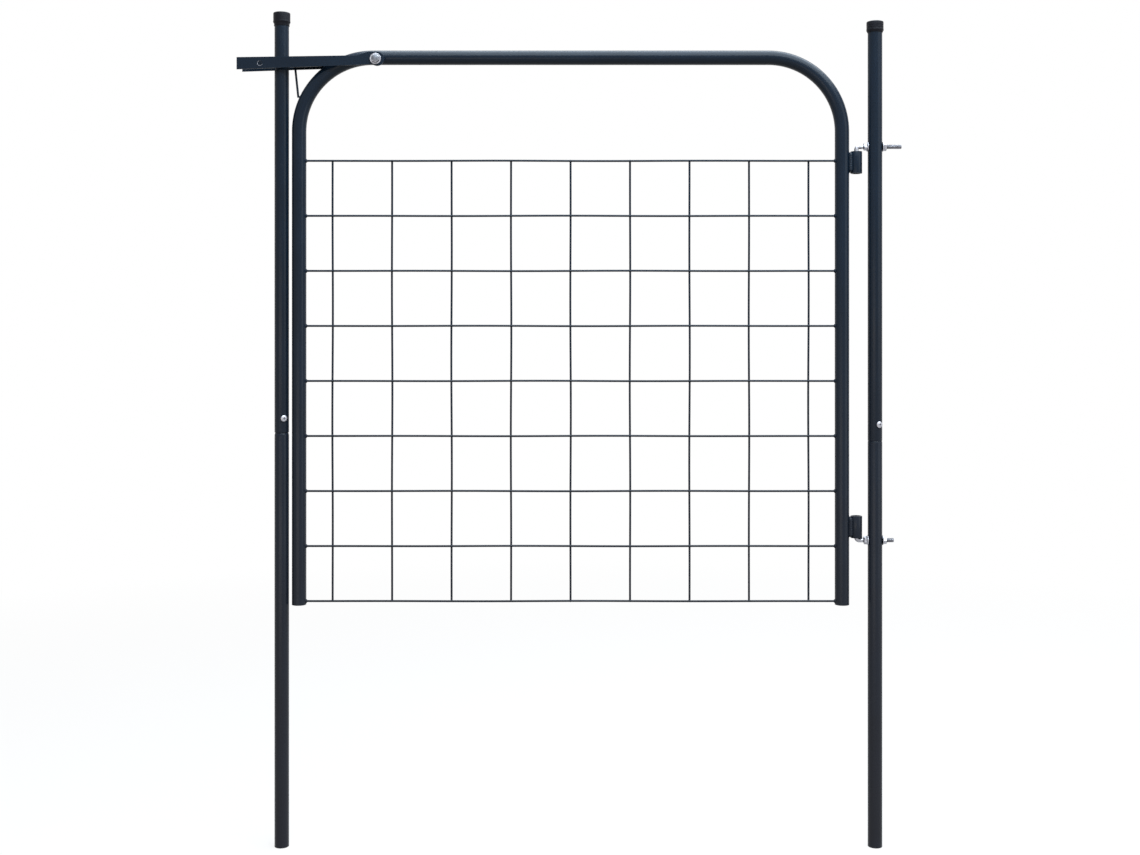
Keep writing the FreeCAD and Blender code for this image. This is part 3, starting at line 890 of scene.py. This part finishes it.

# A painted highlight: a bead of light zinc round the padlock hole's rim, except at the upper
# right, standing in for the lit inner wall of the hole
rim_highlight = Shape()
turns = [math.radians(110 + 10 * i) for i in range(25)]
middle = (PIVOT[0] + PADLOCK[0], PIVOT[1] + PADLOCK[1])
line = [
    Vector((middle[0] + 4.4 * math.cos(t), -BAR_OUTER, middle[1] + 4.4 * math.sin(t)))
    for t in turns
]
bead(rim_highlight, line, 0.55, ripple=0.05)
rim_highlight_look = rim_highlight.build("padlock_hole_highlight")
rim_highlight_look.data.materials.append(PAINTED_LIGHT_ZINC)
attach(rim_highlight_look, "latch")

bridge = Shape()
far = PIVOT[0] - POST_SPAN + TUBE + BRIDGE_CLEAR
near = PIVOT[0] - BRIDGE_NEAR
plate(
    bridge,
    [(far, -BAR_FACE), (near, -BAR_FACE), (near, BAR_FACE), (far, BAR_FACE)],
    [],
    lambda u, v, depth: Vector((u, v, PIVOT[1] + BRIDGE_LIFT + depth)),
    BAR_THICK,
    edge=0.3,
)
for way in (-1, 1):
    line = [Vector((x, way * 20.1, PIVOT[1] + 0.7)) for x in (far + 3, near - 3)]
    bead(bridge, line, 1.4, ripple=0.16)
dress("latch_bridge", bridge)


def on_pivot(y):
    """A point of the bolt's axis."""
    return Vector((PIVOT[0], y, PIVOT[1]))


def collar(name, face, outer, length, edge):
    """A plain ring round the bolt, running forward from its face."""
    shape = Shape()
    turned(
        shape,
        [
            (RING_BORE, edge),
            (RING_BORE + edge, 0),
            (outer - edge, 0),
            (outer, edge),
            (outer, length - edge),
            (outer - edge, length),
            (RING_BORE + edge, length),
            (RING_BORE, length - edge),
        ],
        on_pivot(face),
        -Y,
        72,
    )
    dress(name, shape)


collar("latch_spacer", -TUBE - 1.0, outer=7.0, length=6.35, edge=0.4)
collar("latch_washer", -WASHER_FACE, outer=10.0, length=1.6, edge=0.35)

bolt = Shape()
hexagon(bolt, on_pivot(-BOLT_SEAT), -Y, NUT_FLAT, BOLT_HEAD, turn=12)
threaded(bolt, on_pivot(-14.5), Y, 17.0)
rod(bolt, [on_pivot(y) for y in (-BOLT_SEAT - 1.0, -18.0, -13.0)], SHANK, 32, flat=Z)
bolt_look = dress("latch_bolt", bolt)
# Painted shade: the bolt head's front face takes the darker zinc, so it reads darker than the
# rest of the head
bolt_look.data.materials.append(PAINTED_LIGHT_ZINC)
for face in bolt_look.data.polygons:
    if face.normal.y < -0.9 and face.center.y < -(BOLT_SEAT + 5.0) * MM:
        face.material_index = 1

nut = Shape()
bottom = -INSERT_LENGTH
profile = [(RING_BORE, bottom + 0.4), (4.4, bottom), (5.1, bottom), (INSERT, bottom + 0.4)]
profile += [(INSERT, 0), (INSERT_FLANGE - 0.2, 0), (INSERT_FLANGE, 0.2), (INSERT_FLANGE, 0.8)]
profile += [(INSERT_FLANGE - 0.2, 1.0), (4.4, 1.0), (RING_BORE, 0.7)]
turned(nut, profile, on_pivot(-TUBE), -Y, 48)
dress("latch_nut", nut)


# Stage, light and camera, in metres

CENTRE = (-0.55, 0.0, 0.8)
FLOOR_SIDES = (-12, 11)
FLOOR_LEVEL = -0.0005
PLAIN_FROM = 3.2
FILL = 0.3
EYE = (-0.5545, -2.5, 0.925)
LENS = 43.42
SHIFT = -0.0792


def combined(tree, operation, first, second):
    """Two values put together by a math node."""
    node = tree.nodes.new("ShaderNodeMath")
    node.operation = operation
    tree.links.new(first, node.inputs[0])
    tree.links.new(second, node.inputs[1])
    return node.outputs[0]


def seen(tree):
    """1 for camera, glossy and transmitted rays, 0 for the others."""
    path = tree.nodes.new("ShaderNodeLightPath")
    total = path.outputs["Is Camera Ray"]
    for ray in ("Is Glossy Ray", "Is Transmission Ray"):
        total = combined(tree, "MAXIMUM", total, path.outputs[ray])
    return total


# White to the eye; nearer than PLAIN_FROM it glows less and takes the lamps' light and shadows
floor_mesh = bpy.data.meshes.new("floor")
low, high = FLOOR_SIDES
corners = [(low, low), (high, low), (high, high), (low, high)]
floor_mesh.from_pydata([(x, y, FLOOR_LEVEL) for x, y in corners], [], [(0, 1, 2, 3)])
floor = bpy.data.objects.new("floor", floor_mesh)
bpy.context.scene.collection.objects.link(floor)
floor_material = bpy.data.materials.new("floor_white")
floor_material.use_nodes = True
tree = floor_material.node_tree
tree.nodes.clear()
where = tree.nodes.new("ShaderNodeTexCoord")
away = tree.nodes.new("ShaderNodeVectorMath")
away.operation = "DISTANCE"
away.inputs[1].default_value = (CENTRE[0], 0.0, 0.0)
tree.links.new(where.outputs["Object"], away.inputs[0])
near = spread(tree, away.outputs["Value"], 0.9, PLAIN_FROM, 1.0, 0.0)
matt = tree.nodes.new("ShaderNodeBsdfDiffuse")
tree.links.new(spread(tree, near, 0.0, 1.0, 0.0, 0.1), matt.inputs["Color"])
glow = tree.nodes.new("ShaderNodeEmission")
strength = combined(tree, "MULTIPLY", seen(tree), spread(tree, near, 0.0, 1.0, 1.0, 0.85))
tree.links.new(strength, glow.inputs["Strength"])
both = tree.nodes.new("ShaderNodeAddShader")
tree.links.new(matt.outputs["BSDF"], both.inputs[0])
tree.links.new(glow.outputs["Emission"], both.inputs[1])
output = tree.nodes.new("ShaderNodeOutputMaterial")
tree.links.new(both.outputs["Shader"], output.inputs["Surface"])
floor_mesh.materials.append(floor_material)

# The world is plain white to the eye and in reflections, and lights the gate only weakly
world = bpy.data.worlds.new("studio")
bpy.context.scene.world = world
world.use_nodes = True
tree = world.node_tree
tree.nodes.clear()
chosen = tree.nodes.new("ShaderNodeMixShader")
tree.links.new(seen(tree), chosen.inputs["Fac"])
for socket, strength in ((1, FILL), (2, 1.0)):
    white = tree.nodes.new("ShaderNodeBackground")
    white.inputs["Color"].default_value = (1, 1, 1, 1)
    white.inputs["Strength"].default_value = strength
    tree.links.new(white.outputs["Background"], chosen.inputs[socket])
output = tree.nodes.new("ShaderNodeOutputWorld")
tree.links.new(chosen.outputs["Shader"], output.inputs["Surface"])


def soft_box(name, place, target, size, power, tint):
    """A rectangular area lamp that faces its target."""
    light = bpy.data.lights.new(name, "AREA")
    light.shape = "RECTANGLE"
    light.size = size[0]
    light.size_y = size[1]
    light.energy = power
    light.color = tint
    lamp = bpy.data.objects.new(name, light)
    lamp.location = place
    lamp.rotation_euler = (Vector(target) - Vector(place)).to_track_quat("-Z", "Y").to_euler()
    bpy.context.scene.collection.objects.link(lamp)


soft_box("key", (2.6, -1.8, 1.4), CENTRE, (1.6, 2.6), 22, (0.88, 0.95, 1.0))
soft_box("fill", (-1.6, -3.0, 0.3), (-0.55, 0.0, 0.4), (2.6, 0.8), 14, (1.0, 0.9, 0.8))
soft_box("top", (0.45, -1.1, 3.2), (0.45, -1.1, 0.0), (3.6, 4.6), 380, (0.8, 0.92, 1.0))

camera_data = bpy.data.cameras.new("camera")
camera = bpy.data.objects.new("camera", camera_data)
camera.location = EYE
camera.rotation_euler = (math.radians(90), 0, 0)
camera_data.sensor_width = 36.0
camera_data.lens = LENS
camera_data.shift_y = SHIFT
bpy.context.scene.collection.objects.link(camera)
bpy.context.scene.camera = camera

bpy.context.scene.view_settings.view_transform = "Standard"
